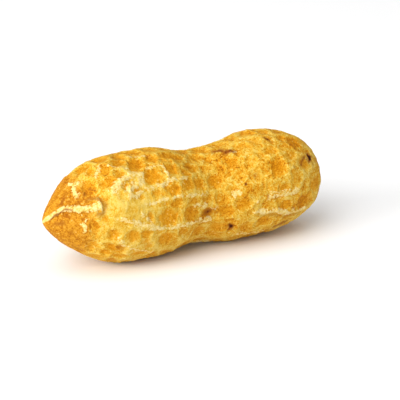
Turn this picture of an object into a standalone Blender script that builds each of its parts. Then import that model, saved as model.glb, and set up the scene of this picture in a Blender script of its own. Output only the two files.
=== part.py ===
# One peanut in its shell, lying on its side. The pod's long axis runs along X with the pointed
# tip at -X and the blunt end at +X. Lengths are in metres and the floor is at z = 0. A turn is the
# angle round the long axis, counted from +Y up to +Z.

import math

import bmesh
import bpy
import numpy as np

MM = 0.001

# Body: circular sections strung along a gently bent axis
LENGTH = 45.0 * MM
STATION_SHARES = (0.0, 0.14, 0.30, 0.43, 0.55, 0.66, 0.78, 0.90, 1.0)
RADII_MM = (8.9, 8.9, 8.1, 7.75, 6.75, 7.45, 7.85, 8.05, 8.0)
AXIS_HEIGHTS_MM = (8.35, 8.35, 7.9, 7.9, 7.55, 7.35, 8.05, 8.05, 8.45)
SIDE_BOW = -0.96 * MM
TIP_CAP_SHARE = 0.349
TIP_CAP_POWER = 0.83
END_CAP_SHARE = 0.268
END_CAP_POWER = 0.346

# Net: ridges that run from end to end. The near side's turns follow the photographed runs,
# and the far side's ridges share out the rest of the way round
RIDGE_SHARES = (0.08, 0.30, 0.50, 0.72, 0.93)
NEAR_RIDGES_DEG = (
    (96.0, 100.0, 101.0, 98.0, 96.0),
    (122.0, 122.0, 120.0, 121.0, 115.0),
    (143.0, 142.0, 138.0, 137.0, 130.0),
    (151.0, 158.0, 157.0, 155.0, 150.0),
    (160.0, 167.0, 174.0, 173.0, 188.0),
    (171.0, 184.0, 193.0, 194.0, 214.0),
    (196.0, 208.0, 226.0, 222.0, 240.0),
)
FAR_RIDGES = 8
RIDGE_WIDTH = 0.75 * MM
RIDGE_SHARE = 0.7
WANDER_DEG = 4.0
WANDER_WAVE = 7.0 * MM

# Cells: every column between two ridges holds a row of scattered cells, and the net stands
# where two cells meet. Shift and slip are shares of a cell, along the pod and across it
CELL_PITCH = (2.2 * MM, 3.3 * MM)
CELL_STRETCH = 0.85
CELL_SHIFT = 0.30
CELL_SLIP = 0.20
CELL_DEPTHS = (0.45, 1.15)
CELLS_A_COLUMN = 24
NEAR_COLUMNS = (-1, 0, 1)
NEAR_CELLS = (-1, 0, 1, 2)
BORDER_WIDTH = 1.35 * MM
BORDER_SHARE = 0.9
NET_DEPTH = 0.55 * MM
NET_ABOVE = 0.15
DEPTH_CHANGE = 0.25
DEPTH_WAVE = 11.0 * MM
NET_STARTS = 3.2 * MM
NET_FULL = 6.5 * MM
NARROW_RADIUS = 1.5 * MM
FULL_RADIUS = 5.0 * MM

# Worn places where the net is faint, as station mm, turn, length mm, width mm and the share lost
WORN_PLACES = (
    (12.0, 165.0, 10.0, 8.0, 0.6),
    (34.0, 155.0, 18.0, 20.0, 0.45),
)

# Hollows: the larger cells of the near side, as station mm, turn, length mm, width mm, depth share
HOLLOWS = (
    (7.4, 100.0, 1.3, 1.8, 0.8),
    (9.1, 109.0, 1.6, 2.0, 0.6),
    (11.7, 103.0, 1.9, 1.8, 1.0),
    (14.8, 80.0, 2.4, 1.6, 0.8),
    (14.1, 110.0, 2.2, 2.3, 1.0),
    (10.8, 122.0, 1.8, 1.6, 0.6),
    (16.8, 109.0, 1.8, 1.5, 0.8),
    (15.4, 131.0, 2.5, 2.3, 1.0),
    (20.2, 107.0, 3.6, 1.6, 1.0),
    (18.9, 127.0, 2.2, 1.8, 1.1),
    (18.2, 150.0, 1.9, 1.6, 0.8),
    (20.7, 146.5, 2.2, 1.7, 0.8),
    (6.1, 122.0, 1.6, 1.9, 0.6),
    (16.6, 177.5, 3.2, 2.4, 1.0),
    (11.0, 193.0, 2.0, 2.1, 0.7),
    (13.0, 191.5, 1.6, 1.5, 0.7),
    (16.4, 203.0, 2.6, 2.3, 0.9),
    (10.0, 225.0, 2.4, 1.2, 0.7),
    (12.8, 220.0, 2.4, 1.4, 0.8),
    (19.2, 199.0, 1.6, 1.4, 0.9),
    (20.5, 179.0, 2.4, 2.3, 0.9),
    (23.7, 183.0, 2.2, 1.7, 0.9),
    (35.4, 147.5, 2.4, 2.6, 0.9),
    (40.3, 147.0, 2.2, 2.0, 0.7),
    (42.2, 179.0, 2.4, 2.2, 0.7),
    (39.8, 194.5, 2.4, 2.2, 0.9),
    (36.3, 192.5, 2.4, 1.4, 0.8),
    (29.2, 176.5, 2.4, 1.8, 0.7),
    (22.7, 146.0, 2.0, 2.0, 0.8),
    (22.6, 123.5, 2.2, 1.7, 0.9),
    (29.0, 125.5, 2.0, 1.6, 0.6),
    (32.0, 109.5, 2.2, 1.7, 0.5),
    (35.4, 126.0, 2.2, 1.4, 0.6),
    (40.2, 114.0, 2.0, 2.0, 0.8),
    (25.6, 145.0, 2.4, 2.2, 0.7),
    (26.7, 184.0, 2.2, 1.8, 0.6),
    (33.0, 207.0, 2.6, 1.8, 0.6),
    (25.6, 207.0, 2.6, 1.8, 0.6),
    (24.4, 104.0, 2.0, 1.8, 0.6),
)
HOLLOW_DEPTH = 0.38 * MM
RIM_HEIGHT = 0.12 * MM
RIM_REACH = 1.35
RIM_WIDTH = 0.28
INSIDE_REACH = (0.9, 1.5)

# Crests: ridges of the net that stand up more than the rest, as strength and then the stations
# in mm and turns that each runs through
CRESTS = (
    (1.0, (8.8, 138.0), (10.2, 130.0), (11.4, 128.0), (13.6, 125.0)),
    (0.8, (11.1, 142.0), (12.0, 139.0), (13.7, 133.0)),
    (0.8, (13.4, 137.0), (14.8, 144.0), (17.4, 140.0), (17.7, 124.0)),
    (0.7, (13.3, 158.0), (16.6, 158.0), (21.6, 159.0), (23.5, 160.0)),
    (0.9, (9.2, 172.0), (12.8, 182.0), (15.0, 187.0), (20.4, 191.0), (24.3, 194.0)),
    (0.6, (8.8, 196.0), (10.5, 207.0), (14.6, 219.0)),
    (0.7, (33.3, 177.0), (36.1, 179.0), (38.4, 177.0)),
    (1.0, (31.3, 189.0), (33.8, 196.0), (38.3, 206.0), (40.5, 208.0)),
)
CREST_HEIGHT = 0.18 * MM
CREST_WIDTH = 0.55 * MM

# Lumps: broad low swellings that keep the lobes from being perfectly round
LUMP_HEIGHT = 0.15 * MM
LUMP_WAVE = 9.0 * MM

# Keel: the raised seam that leaves the tip and ends in a knob, and the faint line beyond it
KEEL_STATIONS_MM = (0.0, 1.4, 2.4, 3.4, 4.4, 5.2, 5.9, 6.5)
KEEL_TURNS_DEG = (142.0, 137.0, 138.0, 146.0, 151.0, 152.5, 153.5, 153.0)
KEEL_WIDTHS_MM = (0.25, 0.30, 0.38, 0.46, 0.48, 0.48, 0.70, 0.82)
KEEL_HEIGHT = 0.50 * MM
KEEL_END_FADE = 0.5 * MM
SUTURE_TURN_DEG = 158.0
SUTURE_HEIGHT = 0.12 * MM
SUTURE_WIDTH = 1.3 * MM

# Resting spots: the underside of both lobes is pressed flat where it meets the floor
FLAT_DEPTH = 0.15 * MM
SPOT_CENTRES_MM = (-9.0, 10.0)
SPOT_REACH = (3.5 * MM, 2.2 * MM)
DOWN_TURN_DEG = 270.0

# Seeds of the draws, one for each use
WANDER_SEED = 11
CELL_SEED = 12
DEPTH_SEED = 14
LUMP_SEED = 15

# Mesh
SEGMENTS = 80
RINGS = 75
PROFILE_STEPS = 2000
SNAP_DISTANCE = 0.02 * MM
CUT_DISTANCE = 0.0001 * MM
SMOOTH_ANGLE_DEG = 60.0


def curve_through(stations, values, at):
    """Smooth curve through the given values, read at each place along the pod."""
    stations = np.array(stations)
    values = np.array(values)
    slopes = np.gradient(values, stations)
    span = np.clip(np.searchsorted(stations, at, side="right") - 1, 0, len(stations) - 2)
    step = stations[span + 1] - stations[span]
    t = np.clip((at - stations[span]) / step, 0.0, 1.0)
    start = (2 * t**3 - 3 * t**2 + 1) * values[span]
    start_slope = (t**3 - 2 * t**2 + t) * step * slopes[span]
    finish = (3 * t**2 - 2 * t**3) * values[span + 1]
    finish_slope = (t**3 - t**2) * step * slopes[span + 1]
    return start + start_slope + finish + finish_slope


def smooth_step(low, high, value):
    t = np.clip((value - low) / (high - low), 0.0, 1.0)
    return t * t * (3.0 - 2.0 * t)


def round_cap(distance, share, power):
    """One beyond the cap, falling to nothing at the pole."""
    inside = np.clip(distance / share, 0.0, 1.0)
    return (1.0 - (1.0 - inside) ** 2) ** power


def body_radius(share):
    radius = curve_through(STATION_SHARES, RADII_MM, share) * MM
    radius = radius * round_cap(share, TIP_CAP_SHARE, TIP_CAP_POWER)
    return radius * round_cap(1.0 - share, END_CAP_SHARE, END_CAP_POWER)


def axis_height(share):
    return curve_through(STATION_SHARES, AXIS_HEIGHTS_MM, share) * MM


def axis_side(share):
    return SIDE_BOW * (4.0 * (share - 0.5) ** 2 - 1.0)


def even_shares(count):
    """Shares of the length at even steps along the skin, from the tip to the blunt end."""
    share = (1.0 - np.cos(np.linspace(0.0, math.pi, PROFILE_STEPS))) / 2.0
    run = np.diff(share) * LENGTH
    rise = np.diff(body_radius(share))
    travelled = np.concatenate([[0.0], np.cumsum(np.hypot(run, rise))])
    return np.interp(np.linspace(0.0, travelled[-1], count), travelled, share)


def waves(points, wavelength, seed, count=9):
    """Smooth noise of about -1 to 1: plane waves in seeded directions, added up."""
    draw = np.random.default_rng(seed)
    directions = draw.normal(size=(count, 3))
    directions /= np.linalg.norm(directions, axis=1)[:, None]
    rates = 2.0 * math.pi / (wavelength * draw.uniform(0.75, 1.3, count))
    phases = draw.uniform(0.0, 2.0 * math.pi, count)
    total = np.zeros(len(points))
    for direction, rate, phase in zip(directions, rates, phases):
        total += np.sin(points @ direction * rate + phase)
    return total * math.sqrt(2.0 / count) / 1.6


def turn_gap(turn, other):
    """Signed angle from one turn to another, from -pi to pi."""
    return (turn - other + math.pi) % (2.0 * math.pi) - math.pi


def ridge_turns(share):
    """One row of turns for each ridge, in order round the pod, and the first again at the end."""
    rows = [np.array(row) for row in NEAR_RIDGES_DEG]
    last = rows[-1]
    closing = rows[0] + 360.0
    for number in range(1, FAR_RIDGES + 1):
        rows.append(last + (closing - last) * number / (FAR_RIDGES + 1))
    rows.append(closing)
    return np.radians([curve_through(RIDGE_SHARES, row, share) for row in rows])


def cell_depth(points, share, turn, radius):
    """How deep each point lies in a cell of the net, with nothing on the net itself."""
    station = share * LENGTH
    rows = ridge_turns(share)
    wander = math.radians(WANDER_DEG) * waves(points, WANDER_WAVE, WANDER_SEED)
    past_first = (turn + wander - rows[0]) % (2.0 * math.pi)
    starts = rows - rows[0]
    columns = len(rows) - 1
    column = np.clip((past_first >= starts).sum(axis=0) - 1, 0, columns - 1)
    here = np.arange(len(station))
    widths = np.diff(starts, axis=0) * radius
    width = widths[column, here]
    across = (past_first - starts[column, here]) * radius
    ridge = np.exp(-((np.minimum(across, width - across) / RIDGE_WIDTH) ** 2))

    draw = np.random.default_rng(CELL_SEED)
    table = (columns, CELLS_A_COLUMN)
    pitches = draw.uniform(*CELL_PITCH, columns)
    firsts = draw.uniform(0.0, 1.0, columns)
    shifts = draw.uniform(-CELL_SHIFT, CELL_SHIFT, table)
    slips = draw.uniform(-CELL_SLIP, CELL_SLIP, table)
    strengths = draw.uniform(*CELL_DEPTHS, table)
    distances = []
    depths = []
    for offset in NEAR_COLUMNS:
        other = (column + offset) % columns
        other_width = widths[other, here]
        centre = width / 2.0 + offset * (width + other_width) / 2.0
        place = station / pitches[other] + firsts[other]
        for step in NEAR_CELLS:
            number = np.floor(place).astype(int) + step
            which = (other, number % CELLS_A_COLUMN)
            aside = across - centre - slips[which] * other_width
            along = (place - number - shifts[which]) * pitches[other]
            distances.append(np.hypot(along * CELL_STRETCH, aside))
            depths.append(strengths[which])
    distances = np.array(distances)
    depth = np.array(depths)[distances.argmin(axis=0), here]
    nearest, second = np.partition(distances, 1, axis=0)[:2]
    border = np.exp(-(((second - nearest) / BORDER_WIDTH) ** 2))

    sunk = (1.0 - RIDGE_SHARE * ridge) * (1.0 - BORDER_SHARE * border)
    change = 1.0 + DEPTH_CHANGE * waves(points, DEPTH_WAVE, DEPTH_SEED)
    shown = smooth_step(NET_STARTS, NET_FULL, station)
    shown = shown * smooth_step(NARROW_RADIUS, FULL_RADIUS, radius)
    return sunk * depth * change * shown


def oval_reach(station, turn, radius, place):
    """Distance from the middle of an oval on the skin, which is one on its edge."""
    middle, middle_turn, length, width = place
    aside = turn_gap(turn, math.radians(middle_turn)) * radius
    return 2.0 * np.hypot((station - middle * MM) / (length * MM), aside / (width * MM))


def hollow_shares(station, turn, radius):
    """Depth share of the large hollows, one inside them, and one on their rims."""
    hollow = np.zeros(len(station))
    inside = np.zeros(len(station))
    rim = np.zeros(len(station))
    for *place, depth in HOLLOWS:
        reach = oval_reach(station, turn, radius, place)
        hollow = np.maximum(hollow, depth * np.exp(-(reach**4)))
        inside = np.maximum(inside, 1.0 - smooth_step(*INSIDE_REACH, reach))
        rim = np.maximum(rim, np.exp(-(((reach - RIM_REACH) / RIM_WIDTH) ** 2)))
    return hollow, inside, rim * (1.0 - inside)


def worn_share(station, turn, radius):
    """Share of the net that is worn away."""
    worn = np.zeros(len(station))
    for *place, lost in WORN_PLACES:
        worn = np.maximum(worn, lost * np.exp(-(oval_reach(station, turn, radius, place) ** 2)))
    return worn


def run_distance(station, turn, radius, run):
    """Distance on the skin from a line through the given stations and turns."""
    ends = [(place * MM, math.radians(angle)) for place, angle in run]
    nearest = np.full(len(station), LENGTH)
    for (station_a, turn_a), (station_b, turn_b) in zip(ends, ends[1:]):
        along = station - station_a
        aside = turn_gap(turn, turn_a) * radius
        step_along = station_b - station_a
        step_aside = (turn_b - turn_a) * radius
        t = (along * step_along + aside * step_aside) / (step_along**2 + step_aside**2)
        t = np.clip(t, 0.0, 1.0)
        nearest = np.minimum(nearest, np.hypot(along - t * step_along, aside - t * step_aside))
    return nearest


def crest_share(station, turn, radius):
    """Strength on the crests, falling to nothing beside them."""
    crest = np.zeros(len(station))
    for strength, *run in CRESTS:
        far = run_distance(station, turn, radius, run) / CREST_WIDTH
        crest = np.maximum(crest, strength * np.exp(-(far**2)))
    return crest


def keel_turn(station):
    """Turn of the keel's crest, which keeps its last value beyond the knob."""
    return np.radians(curve_through(np.array(KEEL_STATIONS_MM) * MM, KEEL_TURNS_DEG, station))


def keel_height(station, turn, radius):
    """The raised keel from the tip to its knob, then the faint suture line on both sides."""
    knob = KEEL_STATIONS_MM[-1] * MM
    width = np.interp(station, np.array(KEEL_STATIONS_MM) * MM, KEEL_WIDTHS_MM) * MM
    aside = turn_gap(turn, keel_turn(station)) * radius
    rise = np.exp(-(np.abs(aside / width) ** 3))
    rise = rise * (1.0 - smooth_step(knob, knob + KEEL_END_FADE, station))
    suture = np.zeros(len(station))
    for line in (math.radians(SUTURE_TURN_DEG), math.radians(SUTURE_TURN_DEG - 180.0)):
        suture += np.exp(-((turn_gap(turn, line) * radius / SUTURE_WIDTH) ** 2))
    suture = suture * smooth_step(knob, knob + NET_STARTS, station)
    return KEEL_HEIGHT * rise + SUTURE_HEIGHT * suture


def away_from_spots(x, turn, radius):
    """Nothing at the resting spots and one away from them, so that they stay plain."""
    aside = turn_gap(turn, math.radians(DOWN_TURN_DEG)) * radius
    kept = np.ones(len(x))
    for centre in SPOT_CENTRES_MM:
        reach = np.hypot((x - centre * MM) / SPOT_REACH[0], aside / SPOT_REACH[1])
        kept *= smooth_step(0.6, 1.4, reach)
    return kept


def skin_points(share, turn):
    """Points on the shell for arrays of length shares and turns."""
    radius = body_radius(share)
    station = share * LENGTH
    x = station - LENGTH / 2.0
    outward = np.stack([np.zeros(len(x)), np.cos(turn), np.sin(turn)], axis=1)
    axis = np.stack([x, axis_side(share), axis_height(share)], axis=1)
    smooth = axis + outward * radius[:, None]
    hollow, inside, rim = hollow_shares(station, turn, radius)
    sunk = cell_depth(smooth, share, turn, radius)
    sunk = sunk * (1.0 - worn_share(station, turn, radius)) * (1.0 - inside)
    relief = NET_DEPTH * (NET_ABOVE * (1.0 - inside) - sunk)
    relief = relief - HOLLOW_DEPTH * hollow + RIM_HEIGHT * rim
    relief = relief + CREST_HEIGHT * crest_share(station, turn, radius)
    relief = relief * away_from_spots(x, turn, radius) + keel_height(station, turn, radius)
    relief = relief + LUMP_HEIGHT * waves(smooth, LUMP_WAVE, LUMP_SEED)
    relief = relief * smooth_step(0.0, NARROW_RADIUS, radius)
    return smooth + outward * relief[:, None]


def settle(points):
    """Centres the pod from side to side and lays both lobes down to the same depth."""
    points[:, 1] -= (points[:, 1].min() + points[:, 1].max()) / 2.0
    lows = []
    for side in (points[:, 0] < 0.0, points[:, 0] > 0.0):
        lows.append(points[side][points[side][:, 2].argmin()])
    slope = (lows[1][2] - lows[0][2]) / (lows[1][0] - lows[0][0])
    points[:, 2] -= lows[0][2] + slope * (points[:, 0] - lows[0][0]) + FLAT_DEPTH
    points[np.abs(points[:, 2]) < SNAP_DISTANCE, 2] = 0.0
    return points


def pod_mesh(name):
    """A sphere turned pole to pole along X and moved onto the skin, cut flat underneath.

    The rings near the tip are twisted a little, so that a row of vertices follows the keel.
    """
    body = bmesh.new()
    bmesh.ops.create_uvsphere(body, u_segments=SEGMENTS, v_segments=RINGS, radius=1.0)
    shares = even_shares(RINGS + 1)
    places = np.array([vertex.co for vertex in body.verts])
    ring = np.rint(np.arccos(np.clip(places[:, 2], -1.0, 1.0)) / math.pi * RINGS).astype(int)
    twist = keel_turn(shares[ring] * LENGTH) - keel_turn(LENGTH)
    turn = (np.arctan2(places[:, 0], places[:, 1]) + twist) % (2.0 * math.pi)
    moved = settle(skin_points(shares[ring], turn))
    for vertex, place in zip(body.verts, moved):
        vertex.co = place
    bmesh.ops.bisect_plane(
        body,
        geom=body.verts[:] + body.edges[:] + body.faces[:],
        dist=CUT_DISTANCE,
        plane_co=(0.0, 0.0, 0.0),
        plane_no=(0.0, 0.0, -1.0),
        clear_outer=True,
    )
    rims = [edge for edge in body.edges if edge.is_boundary]
    bmesh.ops.holes_fill(body, edges=rims, sides=0)
    bmesh.ops.recalc_face_normals(body, faces=body.faces)
    mesh = bpy.data.meshes.new(name)
    body.to_mesh(mesh)
    body.free()
    return mesh


def shell_material():
    material = bpy.data.materials.new("peanut_shell")
    material.use_nodes = True
    shader = material.node_tree.nodes["Principled BSDF"]
    shader.inputs["Base Color"].default_value = (0.78, 0.47, 0.12, 1.0)
    shader.inputs["Roughness"].default_value = 0.62
    material.diffuse_color = (0.78, 0.47, 0.12, 1.0)
    return material


def main():
    for old in list(bpy.data.objects):
        bpy.data.objects.remove(old, do_unlink=True)
    collection = bpy.data.collections.new("peanut")
    bpy.context.scene.collection.children.link(collection)
    mesh = pod_mesh("peanut_pod")
    mesh.materials.append(shell_material())
    pod = bpy.data.objects.new("peanut_pod", mesh)
    collection.objects.link(pod)
    mesh.shade_smooth()
    mesh.set_sharp_from_angle(angle=math.radians(SMOOTH_ANGLE_DEG))


main()
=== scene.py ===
import math

import bpy
import numpy as np
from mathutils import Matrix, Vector, noise


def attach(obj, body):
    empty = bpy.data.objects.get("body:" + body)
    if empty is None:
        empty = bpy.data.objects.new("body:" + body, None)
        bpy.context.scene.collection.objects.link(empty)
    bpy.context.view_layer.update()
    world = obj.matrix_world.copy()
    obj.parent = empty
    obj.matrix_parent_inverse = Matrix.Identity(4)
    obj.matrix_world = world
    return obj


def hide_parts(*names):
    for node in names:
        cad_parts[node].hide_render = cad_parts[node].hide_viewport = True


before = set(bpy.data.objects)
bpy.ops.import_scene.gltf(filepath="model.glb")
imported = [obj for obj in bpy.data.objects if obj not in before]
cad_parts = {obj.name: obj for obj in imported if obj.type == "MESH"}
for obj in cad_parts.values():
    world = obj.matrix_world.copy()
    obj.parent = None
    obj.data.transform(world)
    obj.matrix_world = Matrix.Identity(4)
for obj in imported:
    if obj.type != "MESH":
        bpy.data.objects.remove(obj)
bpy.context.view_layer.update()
mm = 0.001
print("frame loaded")


def hexColor(code):
    channels = [int(code[i:i + 2], 16) / 255.0 for i in (0, 2, 4)]
    linear = [c / 12.92 if c <= 0.04045 else ((c + 0.055) / 1.055) ** 2.4 for c in channels]
    return (*linear, 1.0)


def addNode(tree, kind, inputs=None, **settings):
    node = tree.nodes.new(kind)
    for name, value in settings.items():
        setattr(node, name, value)
    for socket, value in (inputs or {}).items():
        if isinstance(value, bpy.types.NodeSocket):
            tree.links.new(value, node.inputs[socket])
        else:
            node.inputs[socket].default_value = value
    return node


def smoothStep(low, high, value):
    t = np.clip((value - low) / (high - low), 0.0, 1.0)
    return t * t * (3.0 - 2.0 * t)


def curveThrough(stations, values, at):
    stations, values = np.array(stations), np.array(values)
    slopes = np.gradient(values, stations)
    span = np.clip(np.searchsorted(stations, at, side="right") - 1, 0, len(stations) - 2)
    step = stations[span + 1] - stations[span]
    t = np.clip((at - stations[span]) / step, 0.0, 1.0)
    held = (2 * t**3 - 3 * t**2 + 1) * values[span] + (3 * t**2 - 2 * t**3) * values[span + 1]
    bent = (t**3 - 2 * t**2 + t) * slopes[span] + (t**3 - t**2) * slopes[span + 1]
    return held + step * bent


def waves(points, wavelength, seed, count=9):
    # smooth noise of about -1 to 1: plane waves in seeded directions, added up
    draw = np.random.default_rng(seed)
    directions = draw.normal(size=(count, 3))
    directions /= np.linalg.norm(directions, axis=1)[:, None]
    rates = 2.0 * math.pi / (wavelength * draw.uniform(0.75, 1.3, count))
    phases = draw.uniform(0.0, 2.0 * math.pi, count)
    total = np.zeros(len(points))
    for direction, rate, phase in zip(directions, rates, phases):
        total += np.sin(points @ direction * rate + phase)
    return total * math.sqrt(2.0 / count) / 1.6


def turnGap(turn, other):
    return (turn - other + math.pi) % (2.0 * math.pi) - math.pi


def ovalReach(station, turn, radius, place):
    # nothing at the oval's middle and one at its edge
    middle, middleTurn, length, width = place
    along = station - middle * mm
    aside = turnGap(turn, math.radians(middleTurn)) * radius
    return 2.0 * np.hypot(along / (length * mm), aside / (width * mm))


def runDistance(station, turn, radius, run):
    # distance on the skin from a line through the given places; a single place is a dot
    ends = [(at * mm, math.radians(angle)) for at, angle in run]
    near = np.full(len(station), pod["length"])
    for (s0, t0), (s1, t1) in zip(ends, ends[1:] or ends):
        along, aside = station - s0, turnGap(turn, t0) * radius
        runAlong, runAside = s1 - s0, (t1 - t0) * radius
        length = np.maximum(runAlong**2 + runAside**2, 1e-12)
        t = np.clip((along * runAlong + aside * runAside) / length, 0.0, 1.0)
        near = np.minimum(near, np.hypot(along - t * runAlong, aside - t * runAside))
    return near


# the body: the model's own sizes on a finer mesh
pod = {
    "length": 45.0 * mm,
    "shares": (0.0, 0.14, 0.30, 0.43, 0.55, 0.66, 0.78, 0.90, 1.0),    # of the length
    "radii": (8.9, 8.9, 8.1, 7.75, 6.75, 7.45, 7.85, 8.05, 8.0),       # mm
    "heights": (8.35, 8.35, 7.9, 7.9, 7.55, 7.35, 8.05, 8.05, 8.45),   # mm, of the axis
    "bow": -0.96 * mm,
    "tipCap": (0.349, 0.83), "endCap": (0.268, 0.346),                 # share of the length, power
    "flatDepth": 0.15 * mm,
    "lumpHeight": 0.15 * mm, "lumpWave": 9.0 * mm, "lumpSeed": 15,
    "segments": 240, "rings": 398, "profileSteps": 2000,
}


def bodyRadius(share):
    radius = curveThrough(pod["shares"], pod["radii"], share) * mm
    for distance, (reach, power) in ((share, pod["tipCap"]), (1.0 - share, pod["endCap"])):
        radius = radius * (1.0 - (1.0 - np.clip(distance / reach, 0.0, 1.0)) ** 2) ** power
    return radius


def evenShares(count):
    # even steps along the skin, so that the blunt end gets its rings too
    share = (1.0 - np.cos(np.linspace(0.0, math.pi, pod["profileSteps"]))) / 2.0
    steps = np.hypot(np.diff(share) * pod["length"], np.diff(bodyRadius(share)))
    travelled = np.concatenate([[0.0], np.cumsum(steps)])
    return np.interp(np.linspace(0.0, travelled[-1], count), travelled, share)


# the raised net: the model's ridges and cells, a little shallower and with narrower walls
net = {
    "ridgeShares": (0.08, 0.30, 0.50, 0.72, 0.93),
    "nearRidges": (                                  # turns, tip to blunt end
        (96.0, 100.0, 101.0, 98.0, 96.0),
        (122.0, 122.0, 120.0, 121.0, 115.0),
        (143.0, 142.0, 138.0, 137.0, 130.0),
        (151.0, 158.0, 157.0, 155.0, 150.0),
        (160.0, 167.0, 174.0, 173.0, 188.0),
        (171.0, 184.0, 193.0, 194.0, 214.0),
        (196.0, 208.0, 226.0, 222.0, 240.0),
    ),
    "farRidges": 8,
    "ridgeWidth": 0.65 * mm, "ridgeShare": 0.70,
    "borderWidth": 1.00 * mm, "borderShare": 0.90,
    "depth": 0.42 * mm, "above": 0.15,               # above: what stands out of the skin
    "veinShare": 0.48,                               # the pale vein is narrower than its ridge
    "ridgeVein": 0.6, "borderVein": 0.8,             # how strongly it shows
    "cellShade": 0.8,
    "cellPitch": (2.2 * mm, 3.3 * mm), "cellStretch": 0.85,
    "cellShift": 0.30, "cellSlip": 0.20,             # scatter along and across, in cells
    "cellDepths": (0.45, 1.15), "cellsAColumn": 24, "cellSeed": 12,
    "change": 0.25, "changeWave": 11.0 * mm, "changeSeed": 14,
    "wander": 4.0, "wanderWave": 7.0 * mm, "wanderSeed": 11,   # wander in degrees
    "starts": 3.2 * mm, "full": 6.5 * mm,            # stations
    "narrow": 1.5 * mm, "fullRadius": 4.2 * mm,
    # where the net is faint: station, turn, length mm, width mm, share lost; the first is the
    # pale patch behind the keel
    "worn": ((12.0, 165.0, 10.0, 8.0, 0.6), (34.0, 155.0, 18.0, 20.0, 0.45)),
}


def ridgeTurns(share):
    rows = [np.array(row) for row in net["nearRidges"]]
    last, closing = rows[-1], rows[0] + 360.0
    for number in range(1, net["farRidges"] + 1):
        rows.append(last + (closing - last) * number / (net["farRidges"] + 1))
    rows.append(closing)
    return np.radians([curveThrough(net["ridgeShares"], row, share) for row in rows])


def netShares(points, share, turn, radius):
    # every column between two ridges holds a row of cells; the net stands where two cells meet
    station = share * pod["length"]
    rows = ridgeTurns(share)
    wander = math.radians(net["wander"]) * waves(points, net["wanderWave"], net["wanderSeed"])
    pastFirst = (turn + wander - rows[0]) % (2.0 * math.pi)
    starts = rows - rows[0]
    columns, cells = len(rows) - 1, net["cellsAColumn"]
    column = np.clip((pastFirst >= starts).sum(axis=0) - 1, 0, columns - 1)
    here = np.arange(len(station))
    widths = np.diff(starts, axis=0) * radius
    width = widths[column, here]
    across = (pastFirst - starts[column, here]) * radius
    ridge = np.exp(-((np.minimum(across, width - across) / net["ridgeWidth"]) ** 2))

    draw = np.random.default_rng(net["cellSeed"])
    pitches = draw.uniform(*net["cellPitch"], columns)
    firsts = draw.uniform(0.0, 1.0, columns)
    shifts = draw.uniform(-net["cellShift"], net["cellShift"], (columns, cells))
    slips = draw.uniform(-net["cellSlip"], net["cellSlip"], (columns, cells))
    strengths = draw.uniform(*net["cellDepths"], (columns, cells))
    distances, depths = [], []
    for offset in (-1, 0, 1):
        other = (column + offset) % columns
        otherWidth = widths[other, here]
        centre = width / 2.0 + offset * (width + otherWidth) / 2.0
        place = station / pitches[other] + firsts[other]
        for step in (-1, 0, 1, 2):
            number = np.floor(place).astype(int) + step
            which = (other, number % cells)
            aside = across - centre - slips[which] * otherWidth
            along = (place - number - shifts[which]) * pitches[other]
            distances.append(np.hypot(along * net["cellStretch"], aside))
            depths.append(strengths[which])
    distances = np.array(distances)
    depth = np.array(depths)[distances.argmin(axis=0), here]
    nearest, second = np.partition(distances, 1, axis=0)[:2]
    border = np.exp(-(((second - nearest) / net["borderWidth"]) ** 2))

    sunk = (1.0 - net["ridgeShare"] * ridge) * (1.0 - net["borderShare"] * border)
    thin = 1.0 / net["veinShare"] ** 2
    vein = 1.0 - (1.0 - net["ridgeVein"] * ridge**thin) * (1.0 - net["borderVein"] * border**thin)
    change = 1.0 + net["change"] * waves(points, net["changeWave"], net["changeSeed"])
    shown = smoothStep(net["starts"], net["full"], station)
    shown = shown * smoothStep(net["narrow"], net["fullRadius"], radius)
    return vein * shown, sunk * depth * change * shown


def wornShare(station, turn, radius):
    worn = np.zeros(len(station))
    for *place, lost in net["worn"]:
        worn = np.maximum(worn, lost * np.exp(-(ovalReach(station, turn, radius, place) ** 2)))
    return worn


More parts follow.
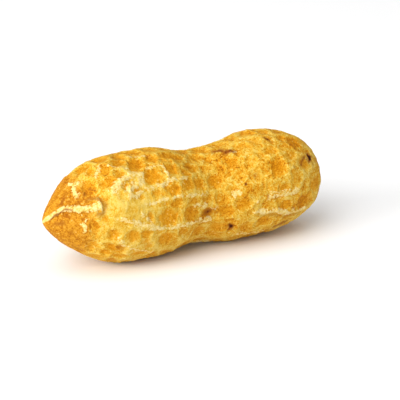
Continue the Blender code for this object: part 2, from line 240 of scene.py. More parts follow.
# the larger cells of the near side, and some small ones that only show from close: station, turn,
# length mm, width mm, depth share
hollows = {
    "depth": 0.27 * mm,
    "rimHeight": 0.09 * mm, "rimReach": 1.35, "rimWidth": 0.28, "rimVein": 0.7,
    "insideReach": (0.9, 1.5),
    "ragged": 0.16,
    "places": (
        (7.4, 100.0, 1.3, 1.8, 0.8), (9.1, 109.0, 1.6, 2.0, 0.6),
        (11.7, 103.0, 1.9, 1.8, 1.0), (14.8, 80.0, 2.4, 1.6, 0.8), (14.1, 110.0, 2.2, 2.3, 1.0),
        (10.8, 122.0, 1.8, 1.6, 0.6), (16.8, 109.0, 1.8, 1.5, 0.8), (15.4, 131.0, 2.5, 2.3, 1.0),
        (10.8, 137.5, 1.1, 1.2, 0.7), (12.2, 142.5, 1.6, 0.6, 0.8), (20.2, 107.0, 3.6, 1.6, 1.0),
        (18.9, 127.0, 2.2, 1.8, 1.1), (18.2, 150.0, 1.9, 1.6, 0.8), (20.7, 146.5, 2.2, 1.7, 0.8),
        (6.1, 122.0, 1.6, 1.9, 0.6), (15.4, 149.5, 1.8, 1.1, 0.5), (16.6, 177.5, 3.2, 2.4, 1.0),
        (13.6, 173.0, 0.9, 1.5, 0.7), (11.0, 193.0, 2.0, 2.1, 0.7), (13.0, 191.5, 1.6, 1.5, 0.7),
        (16.4, 203.0, 2.6, 2.3, 0.9), (9.3, 209.0, 0.9, 1.2, 0.9), (7.6, 222.0, 1.6, 1.2, 0.8),
        (10.0, 225.0, 2.4, 1.2, 0.7), (12.8, 220.0, 2.4, 1.4, 0.8), (5.7, 222.0, 1.1, 1.2, 0.6),
        (19.2, 199.0, 1.6, 1.4, 0.9), (18.0, 165.0, 1.7, 1.2, 0.6), (5.6, 183.0, 1.2, 2.6, 0.4),
        (13.6, 208.0, 1.5, 1.3, 0.6), (20.5, 179.0, 2.4, 2.3, 0.9), (23.7, 183.0, 2.2, 1.7, 0.9),
        (35.4, 147.5, 2.4, 2.6, 0.9), (40.3, 147.0, 2.2, 2.0, 0.7), (42.2, 179.0, 2.4, 2.2, 0.7),
        (39.8, 194.5, 2.4, 2.2, 0.9), (36.3, 192.5, 2.4, 1.4, 0.8), (29.2, 176.5, 2.4, 1.8, 0.7),
        (22.7, 146.0, 2.0, 2.0, 0.8), (22.6, 123.5, 2.2, 1.7, 0.9), (29.0, 125.5, 2.0, 1.6, 0.6),
        (36.0, 170.5, 1.8, 1.1, 0.6), (32.0, 109.5, 2.2, 1.7, 0.5), (35.4, 126.0, 2.2, 1.4, 0.6),
        (40.2, 114.0, 2.0, 2.0, 0.8), (25.6, 145.0, 2.4, 2.2, 0.7), (26.7, 184.0, 2.2, 1.8, 0.6),
        (26.0, 167.0, 1.8, 1.5, 0.4), (33.0, 207.0, 2.6, 1.8, 0.6), (25.6, 207.0, 2.6, 1.8, 0.6),
        (24.4, 104.0, 2.0, 1.8, 0.6), (38.4, 160.0, 1.8, 1.8, 0.4), (31.6, 133.0, 1.8, 1.6, 0.4),
    ),
}


def hollowShares(station, turn, radius, ragged):
    hollow, inside, rim = np.zeros((3, len(station)))
    for *place, deep in hollows["places"]:
        reach = ovalReach(station, turn, radius, place) * (1.0 + hollows["ragged"] * ragged)
        hollow = np.maximum(hollow, deep * np.exp(-(reach**4)))
        inside = np.maximum(inside, 1.0 - smoothStep(*hollows["insideReach"], reach))
        fromRim = (reach - hollows["rimReach"]) / hollows["rimWidth"]
        rim = np.maximum(rim, np.exp(-(fromRim**2)))
    return hollow, inside, rim * (1.0 - inside)


# the raised keel that leaves the tip and ends in a knob, and the faint seam line beyond it
keel = {
    "stations": (0.0, 1.4, 2.4, 3.4, 4.4, 5.2, 5.9, 6.5),
    "turns": (142.0, 137.0, 138.0, 146.0, 151.0, 152.5, 153.5, 153.0),
    "widths": (0.24, 0.34, 0.46, 0.58, 0.58, 0.54, 0.76, 0.90),  # mm
    "height": 0.52 * mm,
    "ragged": 0.30,
    "endFade": 0.5 * mm,
    "sutureTurn": 158.0,
    "sutureHeight": 0.12 * mm,
    "sutureWidth": 1.3 * mm,
}


def keelShares(station, turn, radius, ragged):
    stations = np.array(keel["stations"]) * mm
    middle = np.radians(curveThrough(stations, keel["turns"], station))
    width = np.interp(station, stations, keel["widths"]) * mm * (1.0 + keel["ragged"] * ragged)
    rise = np.exp(-((np.abs(turnGap(turn, middle)) * radius / width) ** 3))
    rise = rise * (1.0 - smoothStep(stations[-1], stations[-1] + keel["endFade"], station))
    suture = np.zeros(len(station))
    for line in (keel["sutureTurn"], keel["sutureTurn"] - 180.0):
        aside = turnGap(turn, math.radians(line)) * radius
        suture += np.exp(-((aside / keel["sutureWidth"]) ** 2))
    suture = suture * smoothStep(stations[-1], stations[-1] + net["starts"], station)
    return rise, suture


# crests left standing pale and dry: width mm, strength, then the stations and turns of the run
crests = {
    "height": 0.16 * mm,
    "ragged": 0.45, "fallOff": 2.5,
    "runs": (
        (0.52, 1.0, (8.8, 138), (10.2, 130), (11.4, 128), (12.5, 125), (13.6, 125)),
        (0.50, 1.0, (11.1, 142), (12.0, 139), (12.8, 136), (13.7, 133)),
        (0.42, 0.9, (10.8, 148), (12.0, 149), (12.7, 146)),
        (0.34, 0.8, (13.4, 137), (13.9, 143), (14.8, 144), (15.9, 142), (16.8, 143), (17.4, 140)),
        (0.28, 0.7, (17.4, 140), (17.9, 131), (17.7, 124)),
        (0.30, 0.6, (17.4, 140), (18.8, 140), (20.7, 139)),
        (0.26, 0.7, (13.3, 158), (14.6, 160), (15.7, 159), (16.6, 158)),
        (0.34, 0.9, (9.2, 172), (10.4, 175), (11.6, 178), (12.8, 182), (13.7, 184), (15.0, 187)),
        (0.36, 0.7, (15.0, 187), (16.7, 189), (18.5, 190), (20.4, 191), (22.3, 192), (24.3, 194)),
        (0.30, 0.7, (12.3, 168), (13.2, 175), (13.7, 182)),
        (0.30, 0.6, (8.8, 196), (9.5, 204), (10.5, 207), (11.8, 212), (14.6, 219)),
        (0.30, 0.8, (5.3, 105), (4.5, 103), (4.4, 95)),
        (0.32, 0.9, (4.5, 103), (4.3, 115), (4.4, 125)),
        (0.30, 0.7, (8.9, 99), (8.4, 104), (7.5, 113)),
        (0.34, 0.9, (4.3, 179), (4.3, 187)), (0.20, 0.5, (4.6, 168), (4.4, 174)),
        (0.32, 0.8, (33.3, 177), (34.6, 179), (36.1, 179), (37.6, 180), (38.4, 177)),
        (0.22, 0.6, (33.7, 172), (35.2, 175), (36.9, 175)),
        (0.38, 1.0, (31.3, 189), (32.3, 191), (33.8, 196), (35.1, 197), (36.6, 203), (38.3, 206)),
        (0.32, 0.8, (38.3, 206), (39.5, 206), (40.5, 208)),
        (0.24, 0.6, (29.1, 219), (31.4, 224), (33.8, 228)),
        (0.28, 0.6, (21.3, 170), (22.3, 171), (23.1, 175)),
        (0.26, 0.6, (24.6, 179), (25.4, 177)),
        (0.26, 0.5, (16.6, 158), (18.0, 158), (19.7, 158), (21.6, 159), (23.5, 160)),
        (0.26, 0.5, (14.1, 93), (15.5, 101), (16.7, 102)),
        (0.26, 0.5, (14.9, 121), (16.6, 120), (17.9, 122)),
        (0.26, 0.5, (9.6, 101), (10.4, 108), (11.1, 112), (12.5, 116)),
        (0.45, 1.0, (28.0, 164), (28.4, 163)),
        (0.24, 0.9, (31.4, 178),), (0.36, 0.8, (23.0, 172), (23.4, 173)),
        (0.26, 0.9, (22.2, 190), (22.6, 191)), (0.26, 0.9, (23.8, 191),),
        (0.36, 0.7, (29.6, 112), (30.1, 113)),
    ),
    # the far side's crests lie along the ridges at seeded places; lengths and widths in mm
    "farCount": 30, "farSeed": 17,
    "farStations": (5.0, 41.0), "farTurns": (245.0, 440.0), "farBend": 3.0,
    "farLength": (0.8, 3.2), "farWidth": (0.22, 0.42), "farStrength": (0.5, 0.95),
}


def farRuns():
    draw = np.random.default_rng(crests["farSeed"])
    runs = []
    while len(runs) < crests["farCount"]:
        at, length = draw.uniform(*crests["farStations"]), draw.uniform(*crests["farLength"])
        rows = np.degrees(ridgeTurns(np.array([at * mm, (at + length) * mm]) / pod["length"]))
        aimed = draw.uniform(*crests["farTurns"])
        row = rows[np.abs(rows[:, 0] - aimed).argmin()]
        bend = draw.uniform(-crests["farBend"], crests["farBend"])
        width, strength = draw.uniform(*crests["farWidth"]), draw.uniform(*crests["farStrength"])
        middle = (at + length / 2.0, row.mean() + bend)
        runs.append((width, strength, (at, row[0]), middle, (at + length, row[1])))
    return tuple(runs)


def crestShare(station, turn, radius, ragged):
    crest = np.zeros(len(station))
    for width, strength, *run in crests["runs"] + farRuns():
        reach = width * mm * (1.0 + crests["ragged"] * ragged)
        far = runDistance(station, turn, radius, run) / reach
        crest = np.maximum(crest, strength * np.exp(-(far ** crests["fallOff"])))
    return crest


# brown and black flaws in the skin, and some runs of painted shade: round the knob's end, along the
# keel's crack, under the long crest of the blunt lobe and along its lower edge; half width mm,
# darkness, then the stations and turns
flawsAndPaintedShade = {
    "depth": 0.10 * mm,
    "ragged": 0.5, "uneven": 0.25,
    "runs": (
        (0.54, 0.62, (28.0, 102), (28.8, 106)), (0.56, 0.70, (29.1, 109), (29.8, 111)),
        (0.28, 0.8, (36.0, 105), (36.2, 108)), (0.20, 0.45, (36.2, 108), (36.6, 113)),
        (0.50, 1.0, (41.9, 137), (42.0, 142)),
        (0.26, 0.5, (41.0, 137), (40.4, 142), (39.7, 149)),
        (0.17, 0.9, (30.0, 154),), (0.54, 0.48, (23.5, 184), (24.2, 183)),
        (0.24, 0.90, (23.8, 183.5),), (0.38, 1.0, (27.6, 205.5), (27.8, 207.5)),
        # painted shade: the run from (35.6, 222) to (37.4, 222) darkens the lower edge of the blunt lobe
        (0.48, 0.30, (31.6, 149),), (0.44, 0.42, (35.6, 222), (37.4, 222)),
        (0.26, 0.35, (33.2, 176),), (0.28, 0.5, (5.3, 129),),
        (0.20, 0.4, (6.3, 124), (6.7, 130)), (0.36, 0.35, (1.4, 175), (1.8, 172)),
        (0.30, 0.35, (2.4, 118), (3.0, 112)), (0.22, 0.4, (3.6, 211),), (0.24, 0.3, (3.0, 196),),
        # painted shade: this arc hugs the end of the knob
        (0.32, 0.34, (5.3, 139), (6.1, 141), (6.9, 145), (7.2, 153), (6.9, 161), (6.2, 164)),
        # painted shade: the thin dark slit of the crack along the keel's lower side
        (0.12, 0.55, (0.8, 146), (1.4, 143), (1.9, 141), (2.5, 141), (3.1, 146)),
        (0.40, 0.30, (9.3, 209),), (0.22, 0.35, (38.0, 150),), (0.16, 0.4, (25.2, 186),),
        # painted shadow: a faint dark line under the long crest of the blunt lobe
        (0.34, 0.20, (31.8, 195), (33.0, 198), (34.8, 203), (36.6, 209), (38.3, 212), (40.0, 213)),
        # the rest lie on the far side
        (0.34, 0.8, (12.4, 38), (13.1, 41)), (0.26, 0.5, (20.6, 12), (21.2, 8)),
        (0.22, 1.0, (31.2, 24),), (0.42, 0.6, (37.4, 352), (38.2, 356)),
        (0.24, 0.9, (8.9, 330),), (0.30, 0.5, (27.5, 318), (28.4, 316)),
        (0.20, 0.8, (40.6, 40),), (0.30, 0.45, (16.0, 300), (16.5, 296)),
        (0.26, 0.4, (43.4, 60),),
    ),
}


def flawAndShadeShare(station, turn, radius, ragged, grain):
    flawAndShade = np.zeros(len(station))
    for width, dark, *run in flawsAndPaintedShade["runs"]:
        far = runDistance(station, turn, radius, run) / (width * mm * (1.0 + flawsAndPaintedShade["ragged"] * ragged))
        flawAndShade = np.maximum(flawAndShade, dark * (1.0 + flawsAndPaintedShade["uneven"] * grain) * np.exp(-(far**2)))
    return flawAndShade


# broad stains of the skin, and painted light and shade where the lamps fall (marked below): station,
# turn, length mm, width mm, lighter or darker
stainsAndPaintedShading = (
    # painted light: (41.8, 170.0) lifts the blunt end, which the lamps leave dim
    (12.4, 165.0, 10.0, 9.0, 0.20), (24.6, 150.0, 7.0, 10.0, 0.04), (41.8, 170.0, 7.0, 24.0, 0.16),
    (31.0, 220.0, 18.0, 7.0, 0.03), (38.0, 112.0, 9.0, 6.0, -0.08), (31.5, 150.0, 8.0, 6.0, 0.05),
    (19.0, 100.0, 9.0, 5.0, -0.10), (26.5, 190.0, 7.0, 6.0, -0.08), (5.4, 132.0, 2.6, 4.0, -0.14),
    (1.8, 168.0, 2.0, 2.0, -0.12), (2.6, 116.0, 2.4, 2.4, -0.10), (4.4, 204.0, 3.0, 3.0, -0.06),
    # painted shade: (39.6, 197.5) darkens the lower side of the blunt end
    (11.3, 157.5, 9.0, 0.9, 0.22), (26.8, 130.0, 5.4, 8.5, -0.22), (39.6, 197.5, 3.6, 3.2, -0.34),
    (2.6, 150.0, 1.6, 1.6, -0.16), (6.2, 128.0, 1.6, 2.0, -0.14), (12.0, 196.0, 12.0, 6.0, 0.06),
    # painted light: (13.0, 218.0) lightens the lower side of the larger lobe, as light thrown up from the
    # table
    (13.0, 218.0, 16.0, 6.0, 0.16), (26.5, 206.0, 8.0, 4.0, -0.06), (43.0, 172.0, 3.0, 5.5, -0.10),
    (39.7, 119.5, 3.2, 2.6, -0.26), (43.6, 148.0, 2.0, 2.4, -0.20), (35.4, 147.0, 3.4, 3.2, -0.14),
)


def stainAndShadingAmount(station, turn, radius):
    stainAndShading = np.zeros(len(station))
    for *place, amount in stainsAndPaintedShading:
        stainAndShading += amount * np.exp(-(ovalReach(station, turn, radius, place) ** 2))
    return stainAndShading


# two plain places underneath, where the pod lies on the table
spots = {
    "turn": 270.0,
    "centres": (-9.0, 10.0),                         # mm from the pod's middle
    "reach": (3.5 * mm, 2.2 * mm),                   # along and across
    "fade": (0.6, 1.4),
}


def awayFromSpots(x, turn, radius):
    aside = turnGap(turn, math.radians(spots["turn"])) * radius
    kept = np.ones(len(x))
    for centre in spots["centres"]:
        reach = np.hypot((x - centre * mm) / spots["reach"][0], aside / spots["reach"][1])
        kept *= smoothStep(*spots["fade"], reach)
    return kept


# fine relief that only the close view needs: grain, fibres along the pod and thin veinlets
fine = {
    "roughness": 0.8, "lacunarity": 2.1, "octaves": 3.0, "swayOctaves": 2.0,   # of the noises
    "grainSize": 0.8 * mm, "grainHeight": 0.045 * mm,
    "fibreSize": 0.55 * mm, "fibreStretch": 0.22, "fibreHeight": 0.030 * mm,
    "veinletSize": 1.4 * mm, "veinletStretch": 0.8, "veinletHeight": 0.06 * mm,
    "veinletWidth": 0.16, "veinletWarp": 0.3 * mm,
    "grainLevel": 0.3, "veinletLevel": 0.9,          # what lies level with the skin
    "ragSize": 0.7 * mm, "ragGain": 1.4,
    "swaySize": 1.2 * mm, "sway": 0.22 * mm,         # makes straight runs a little crooked
    "otherPlaces": (50.0 * mm, 90.0 * mm, 140.0 * mm),   # keep the noises apart
    "tipShare": 0.06,                                # the very tip stays smooth
    "tipBloom": (4.6 * mm, 6.6 * mm), "tipRagged": 0.5 * mm,   # where the tip's tan ends
}


def fractalField(points, size, octaves):
    scaled = points / size
    return np.array([noise.fractal(Vector(p), fine["roughness"], fine["lacunarity"], octaves)
                     for p in scaled])


def veinletField(points, warp):
    # thin lines between scattered cells, one on the line and nothing away from it
    scaled = (points * (fine["veinletStretch"], 1.0, 1.0) + warp[:, None]) / fine["veinletSize"]
    found = np.array([noise.voronoi(Vector(p))[0][:2] for p in scaled])
    return np.exp(-(((found[:, 1] - found[:, 0]) / fine["veinletWidth"]) ** 2))


def podSkin(share, turn):
    # points of the skin, and the fields that the hull material reads
    radius = bodyRadius(share)
    station = share * pod["length"]
    x = station - pod["length"] / 2.0
    outward = np.stack([np.zeros(len(x)), np.cos(turn), np.sin(turn)], axis=1)
    side = pod["bow"] * (4.0 * (share - 0.5) ** 2 - 1.0)
    height = curveThrough(pod["shares"], pod["heights"], share) * mm
    smooth = np.stack([x, side, height], axis=1) + outward * radius[:, None]

    ragPlace, alongPlace, asidePlace = fine["otherPlaces"]
    stretched = smooth * (fine["fibreStretch"], 1.0, 1.0)
    grain = fractalField(smooth, fine["grainSize"], fine["octaves"])
    fibre = fractalField(stretched, fine["fibreSize"], fine["octaves"])
    veinlet = veinletField(smooth, grain * fine["veinletWarp"])
    ragged = fine["ragGain"] * fractalField(smooth + ragPlace, fine["ragSize"], fine["octaves"])
    ragged = np.clip(ragged, -1.0, 1.0)
    swayAlong, swayAside = [
        fine["sway"] * fractalField(smooth + place, fine["swaySize"], fine["swayOctaves"])
        for place in (alongPlace, asidePlace)]
    crooked = (station + swayAlong, turn + swayAside / np.maximum(radius, mm), radius, ragged)

    hollow, inside, rim = hollowShares(*crooked)
    vein, sunk = netShares(smooth, share, turn, radius)
    calm = (1.0 - wornShare(station, turn, radius)) * (1.0 - inside)
    vein, sunk = vein * calm, sunk * calm
    crest, flawAndShade = crestShare(*crooked), flawAndShadeShare(*crooked, grain)
    rise, suture = keelShares(station, turn, radius, ragged)

    relief = net["depth"] * (net["above"] * (1.0 - inside) - sunk) - hollows["depth"] * hollow
    relief = relief + hollows["rimHeight"] * rim + crests["height"] * crest
    relief = relief * awayFromSpots(x, turn, radius)
    relief = relief + keel["height"] * rise + keel["sutureHeight"] * suture
    relief = relief + pod["lumpHeight"] * waves(smooth, pod["lumpWave"], pod["lumpSeed"])
    small = fine["grainHeight"] * (grain - fine["grainLevel"])
    small = small + fine["fibreHeight"] * (fibre - fine["grainLevel"])
    small = small + fine["veinletHeight"] * (veinlet - fine["veinletLevel"]) - flawsAndPaintedShade["depth"] * flawAndShade
    relief = relief + small * smoothStep(0.0, fine["tipShare"], share)
    relief = relief * smoothStep(0.0, net["narrow"], radius)

    tipEdge = station + (grain + ragged) * fine["tipRagged"]
    patch = ovalReach(station, turn, radius, net["worn"][0][:4])
    fields = {
        "raised": np.maximum(vein, hollows["rimVein"] * rim),
        "sunk": np.maximum(net["cellShade"] * sunk, hollow),
        "keel": rise, "crest": crest, "flawAndShade": flawAndShade, "veinlet": veinlet,
        "tip": 1.0 - smoothStep(*fine["tipBloom"], tipEdge),
        "stainAndShading": stainAndShadingAmount(station, turn, radius),
        "patch": np.exp(-(patch**2)),
    }
    return smooth + outward * relief[:, None], fields


def settleOnTable(points):
    # both lobes are laid down to the same depth, and what would go through the table is flat
    points[:, 1] -= (points[:, 1].min() + points[:, 1].max()) / 2.0
    lobes = (points[points[:, 0] < 0.0], points[points[:, 0] > 0.0])
    lows = [lobe[lobe[:, 2].argmin()] for lobe in lobes]
    slope = (lows[1][2] - lows[0][2]) / (lows[1][0] - lows[0][0])
    points[:, 2] -= lows[0][2] + slope * (points[:, 0] - lows[0][0]) + pod["flatDepth"]
    points[:, 2] = np.maximum(points[:, 2], 0.0)
    return points


def podObject():
    # a sphere whose poles become the tip and the blunt end
    bpy.ops.mesh.primitive_uv_sphere_add(segments=pod["segments"], ring_count=pod["rings"], radius=1.0)
    shell = bpy.context.object
    shell.name = shell.data.name = "podShell"
    mesh = shell.data
    flat = np.empty(len(mesh.vertices) * 3)
    mesh.vertices.foreach_get("co", flat)
    places = flat.reshape(-1, 3)
    ring = np.rint(np.arccos(np.clip(places[:, 2], -1.0, 1.0)) / math.pi * pod["rings"]).astype(int)
    turn = np.arctan2(places[:, 0], places[:, 1]) % (2.0 * math.pi)
    points, fields = podSkin(evenShares(pod["rings"] + 1)[ring], turn)
    mesh.vertices.foreach_set("co", settleOnTable(points).ravel())
    for name, values in fields.items():
        mesh.attributes.new(name, "FLOAT", "POINT").data.foreach_set("value", values)
    mesh.shade_smooth()
    mesh.update()
    return shell


shell = podObject()
print("pod shell:", len(shell.data.polygons), "faces")


# Dried peanut hull, a brittle fibrous husk that grows in the soil and is dried after the harvest.
# The veins dry pale and cream, the cells between them keep a brown-orange bloom, and the papery
# surface has no gloss of its own.
hull = {
    "deep": hexColor("985804"), "cell": hexColor("c87e04"), "body": hexColor("cd9624"),
    "vein": hexColor("d4aa3b"), "crest": hexColor("dcbc5c"),
    "bloomDark": hexColor("b67004"), "bloomLight": hexColor("d58f0c"),
    "tipDark": hexColor("985606"), "tipLight": hexColor("c78619"),
    "dry": hexColor("e6d190"),
    "bruiseAndShadeBrown": hexColor("8a4a10"), "bruiseAndShadeBlack": hexColor("2e1206"),
    "roughness": (0.64, 0.86), "roughnessFrom": (0.3, 0.7), "ior": 1.45, "specular": 0.1,
    # noises: name, size of the pattern, detail, stretch along the pod
    "textures": (("mottle", 2.6 * mm, 4.0, 1.0), ("grain", 0.45 * mm, 3.0, 1.0),
                 ("speck", 0.20 * mm, 2.0, 1.0), ("fibre", 0.45 * mm, 3.0, 0.25)),
    "textureRoughness": 0.6,
    "bumpHeight": 0.06 * mm, "bumpStrength": 0.8,
    # tone runs from the deep brown to the cream crest: a base, then what each field adds or takes,
    # and how far each texture swings it both ways
    "toneBase": 0.50,
    # one of these fields carries painted light and shade along with the stains
    "toneFields": (("raised", 0.25), ("sunk", -0.16), ("stainAndShading", 1.0), ("veinlet", 0.12)),
    "toneTextures": (("mottle", 1.0), ("grain", 1.5), ("speck", 2.0), ("fibre", 0.8)),
    "patchCalm": 0.4,
    "toneStops": ((0.25, "cell"), (0.5, "body"), (0.75, "vein")),
    "bloomGain": 1.4, "bloomFrom": 0.15, "bloomTo": 0.70, "bloomShare": 0.75,
    "tipGain": 1.5, "tipShift": -0.23, "tipShare": 0.85,
    "dryFrom": 0.8, "dryTo": 1.15,
    "speckShare": 0.5, "fibreShare": 0.6,            # beside the grain, in ragged edges and bump
    "raggedGain": 1.8, "raggedShift": -1.35,
    "paleEdge": 0.4,
    "paleMasks": (("crest", 0.25, 0.95), ("keel", 0.42, 0.90)),     # field, start, strength
    "bruiseAndShadeMasks": (("bruiseAndShadeBrown", 1.8, 0.0), ("bruiseAndShadeBlack", 2.6, -1.3)),   # color, gain, shift
}


def hullMaterial():
    material = bpy.data.materials.new("driedPeanutHull")
    material.use_nodes = True
    tree = material.node_tree
    tree.nodes.clear()

    names = ("raised", "sunk", "keel", "crest", "flawAndShade", "tip", "stainAndShading", "veinlet", "patch")
    fields = {name: addNode(tree, "ShaderNodeAttribute", attribute_name=name).outputs["Fac"]
              for name in names}
    place = addNode(tree, "ShaderNodeTexCoord").outputs["Object"]
    textures = {}
    for name, size, detail, stretch in hull["textures"]:
        vector = addNode(tree, "ShaderNodeMapping", {"Vector": place, "Scale": (stretch, 1.0, 1.0)})
        textures[name] = addNode(tree, "ShaderNodeTexNoise", {
            "Vector": vector.outputs["Vector"], "Scale": 1.0 / size, "Detail": detail,
            "Roughness": hull["textureRoughness"]}).outputs["Fac"]

    tone = hull["toneBase"]
    for name, amount in hull["toneFields"]:
        tone = addNode(tree, "ShaderNodeMath", {0: fields[name], 1: amount, 2: tone},
                       operation="MULTIPLY_ADD").outputs[0]
    swing = -0.5 * sum(amount for name, amount in hull["toneTextures"])
    for name, amount in hull["toneTextures"]:
        swing = addNode(tree, "ShaderNodeMath", {0: textures[name], 1: amount, 2: swing},
                        operation="MULTIPLY_ADD").outputs[0]
    coarse = addNode(tree, "ShaderNodeMath", {0: fields["patch"], 1: -hull["patchCalm"], 2: 1.0},
                     operation="MULTIPLY_ADD").outputs[0]
    tone = addNode(tree, "ShaderNodeMath", {0: swing, 1: coarse, 2: tone},
                   operation="MULTIPLY_ADD").outputs[0]
    ramp = addNode(tree, "ShaderNodeValToRGB", {"Fac": tone})
    stops = ramp.color_ramp.elements
    stops[0].color, stops[1].color = hull["deep"], hull["crest"]
    for position, name in hull["toneStops"]:
        stops.new(position).color = hull[name]

    # the brown-orange bloom of the cells
    bloomTone = addNode(tree, "ShaderNodeMath", {0: tone, 1: hull["bloomGain"]}, operation="MULTIPLY")
    bloom = addNode(tree, "ShaderNodeMix", {
        0: bloomTone.outputs[0], 6: hull["bloomDark"], 7: hull["bloomLight"]}, data_type="RGBA")
    inCell = addNode(tree, "ShaderNodeMapRange", {
        "Value": fields["sunk"], "From Min": hull["bloomFrom"], "From Max": hull["bloomTo"],
        "To Max": hull["bloomShare"]}, interpolation_type="SMOOTHSTEP")
    color = addNode(tree, "ShaderNodeMix", {
        0: inCell.outputs["Result"], 6: ramp.outputs["Color"], 7: bloom.outputs[2]},
        data_type="RGBA").outputs[2]

    # the tip's deeper tan
    tipTone = addNode(tree, "ShaderNodeMath", {0: tone, 1: hull["tipGain"], 2: hull["tipShift"]},
                      operation="MULTIPLY_ADD")
    tipColor = addNode(tree, "ShaderNodeMix", {
        0: tipTone.outputs[0], 6: hull["tipDark"], 7: hull["tipLight"]}, data_type="RGBA")
    onTip = addNode(tree, "ShaderNodeMath", {0: fields["tip"], 1: hull["tipShare"]}, operation="MULTIPLY")
    color = addNode(tree, "ShaderNodeMix", {0: onTip.outputs[0], 6: color, 7: tipColor.outputs[2]},
                    data_type="RGBA").outputs[2]

    # cream on the crests and the keel, with ragged edges
    rubbed = addNode(tree, "ShaderNodeMath", {0: textures["grain"], 1: textures["speck"]}, operation="ADD")
    dryness = addNode(tree, "ShaderNodeMapRange", {
        "Value": rubbed.outputs[0], "From Min": hull["dryFrom"], "From Max": hull["dryTo"]})
    dry = addNode(tree, "ShaderNodeMix", {
        0: dryness.outputs["Result"], 6: hull["vein"], 7: hull["dry"]}, data_type="RGBA")
    pitted = addNode(tree, "ShaderNodeMath", {
        0: textures["speck"], 1: hull["speckShare"], 2: textures["grain"]}, operation="MULTIPLY_ADD")
    ragged = addNode(tree, "ShaderNodeMath", {
        0: pitted.outputs[0], 1: hull["raggedGain"], 2: hull["raggedShift"]}, operation="MULTIPLY_ADD")
    for name, start, strength in hull["paleMasks"]:
        edge = addNode(tree, "ShaderNodeMath", {0: fields[name], 1: ragged.outputs[0]}, operation="ADD")
        mask = addNode(tree, "ShaderNodeMapRange", {
            "Value": edge.outputs[0], "From Min": start, "From Max": start + hull["paleEdge"],
            "To Max": strength}, interpolation_type="SMOOTHSTEP")
        color = addNode(tree, "ShaderNodeMix", {
            0: mask.outputs["Result"], 6: color, 7: dry.outputs[2]}, data_type="RGBA").outputs[2]

    # brown bruises whose middles are nearly black, and the runs of painted shade in the same brown
    for name, gain, shift in hull["bruiseAndShadeMasks"]:
        mask = addNode(tree, "ShaderNodeMath", {0: fields["flawAndShade"], 1: gain, 2: shift},
                       operation="MULTIPLY_ADD", use_clamp=True)
        color = addNode(tree, "ShaderNodeMix", {0: mask.outputs[0], 6: color, 7: hull[name]},
                        data_type="RGBA").outputs[2]

    (grainLow, grainHigh), (slick, dull) = hull["roughnessFrom"], hull["roughness"]
    roughness = addNode(tree, "ShaderNodeMapRange", {
        "Value": textures["grain"], "From Min": grainLow, "From Max": grainHigh,
        "To Min": slick, "To Max": dull})
    height = addNode(tree, "ShaderNodeMath", {
        0: textures["fibre"], 1: hull["fibreShare"], 2: pitted.outputs[0]}, operation="MULTIPLY_ADD")
    bump = addNode(tree, "ShaderNodeBump", {
        "Height": height.outputs[0], "Strength": hull["bumpStrength"], "Distance": hull["bumpHeight"]})
    shader = addNode(tree, "ShaderNodeBsdfPrincipled", {
        "Base Color": color, "Roughness": roughness.outputs["Result"], "Normal": bump.outputs["Normal"],
        "IOR": hull["ior"], "Specular IOR Level": hull["specular"]})
    addNode(tree, "ShaderNodeOutputMaterial", {"Surface": shader.outputs["BSDF"]})
    return material


shell.data.materials.clear()
shell.data.materials.append(hullMaterial())
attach(shell, "root")
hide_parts("peanut_pod")
print("hull material done")


# Matt white paper on the table: pressed fibres scatter the light evenly, so nothing mirrors in it
# and its tooth hardly shows.
studio = {
    "tableSize": 3.0,
    "paper": hexColor("f6f6f6"),
    "paperRoughness": 0.9, "paperSpecular": 0.2,
    "toothSize": 1.5 * mm, "toothHeight": 0.01 * mm, "toothStrength": 0.1,
    "world": 0.40, "worldColor": (1.0, 1.0, 1.0, 1.0),
    "lights": {                                      # watts, and sizes and places in metres
        "keyLight": {"power": 4.3, "size": 1.0, "at": (-0.544, -0.198, 0.689)},
        "frontLight": {"power": 2.5, "size": 0.4, "at": (-0.515, -0.432, 0.47)},
        "sideLight": {"power": 4.4, "size": 0.4, "at": (-0.777, -0.068, 0.253)},
        "topLight": {"power": 1.7, "size": 0.9, "at": (0.0, 0.0, 0.8)},
    },
}


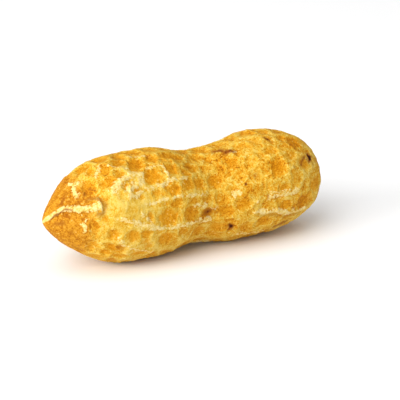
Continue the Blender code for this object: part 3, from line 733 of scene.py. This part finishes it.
def paperMaterial():
    material = bpy.data.materials.new("mattWhitePaper")
    material.use_nodes = True
    tree = material.node_tree
    tree.nodes.clear()
    tooth = addNode(tree, "ShaderNodeTexNoise", {"Scale": 1.0 / studio["toothSize"], "Detail": 3.0})
    bump = addNode(tree, "ShaderNodeBump", {
        "Height": tooth.outputs["Fac"], "Strength": studio["toothStrength"],
        "Distance": studio["toothHeight"]})
    shader = addNode(tree, "ShaderNodeBsdfPrincipled", {
        "Base Color": studio["paper"], "Roughness": studio["paperRoughness"],
        "Specular IOR Level": studio["paperSpecular"], "Normal": bump.outputs["Normal"]})
    addNode(tree, "ShaderNodeOutputMaterial", {"Surface": shader.outputs["BSDF"]})
    return material


bpy.ops.mesh.primitive_plane_add(size=studio["tableSize"], location=(0.0, 0.0, 0.0))
table = bpy.context.object
table.name = "studioTable"
table.data.materials.append(paperMaterial())

for name, spec in studio["lights"].items():
    data = bpy.data.lights.new(name, "AREA")
    data.energy, data.size = spec["power"], spec["size"]
    lamp = bpy.data.objects.new(name, data)
    lamp.location = spec["at"]
    lamp.rotation_euler = (-Vector(spec["at"])).to_track_quat("-Z", "Y").to_euler()
    bpy.context.scene.collection.objects.link(lamp)

world = bpy.data.worlds.new("studioWorld")
world.use_nodes = True
world.node_tree.nodes["Background"].inputs["Color"].default_value = studio["worldColor"]
world.node_tree.nodes["Background"].inputs["Strength"].default_value = studio["world"]
bpy.context.scene.world = world
bpy.context.scene.view_settings.view_transform = "Standard"

# angles in degrees, distances in metres, and a long lens
camera = {
    "azimuth": -30.0, "elevation": 20.0, "distance": 0.320, "aim": (3.66 * mm, 0.0, 6.68 * mm),
    "lens": 195.5, "sensor": 36.0, "clip": (0.01, 10.0),
}
view = bpy.data.cameras.new("photoCamera")
view.lens, view.sensor_width = camera["lens"], camera["sensor"]
view.clip_start, view.clip_end = camera["clip"]
seen = bpy.data.objects.new("photoCamera", view)
azimuth, elevation = math.radians(camera["azimuth"]), math.radians(camera["elevation"])
back = Vector((math.sin(azimuth) * math.cos(elevation), -math.cos(azimuth) * math.cos(elevation),
               math.sin(elevation)))
seen.location = Vector(camera["aim"]) + back * camera["distance"]
seen.rotation_euler = (-back).to_track_quat("-Z", "Y").to_euler()
bpy.context.scene.collection.objects.link(seen)
bpy.context.scene.camera = seen
print("studio and camera done")
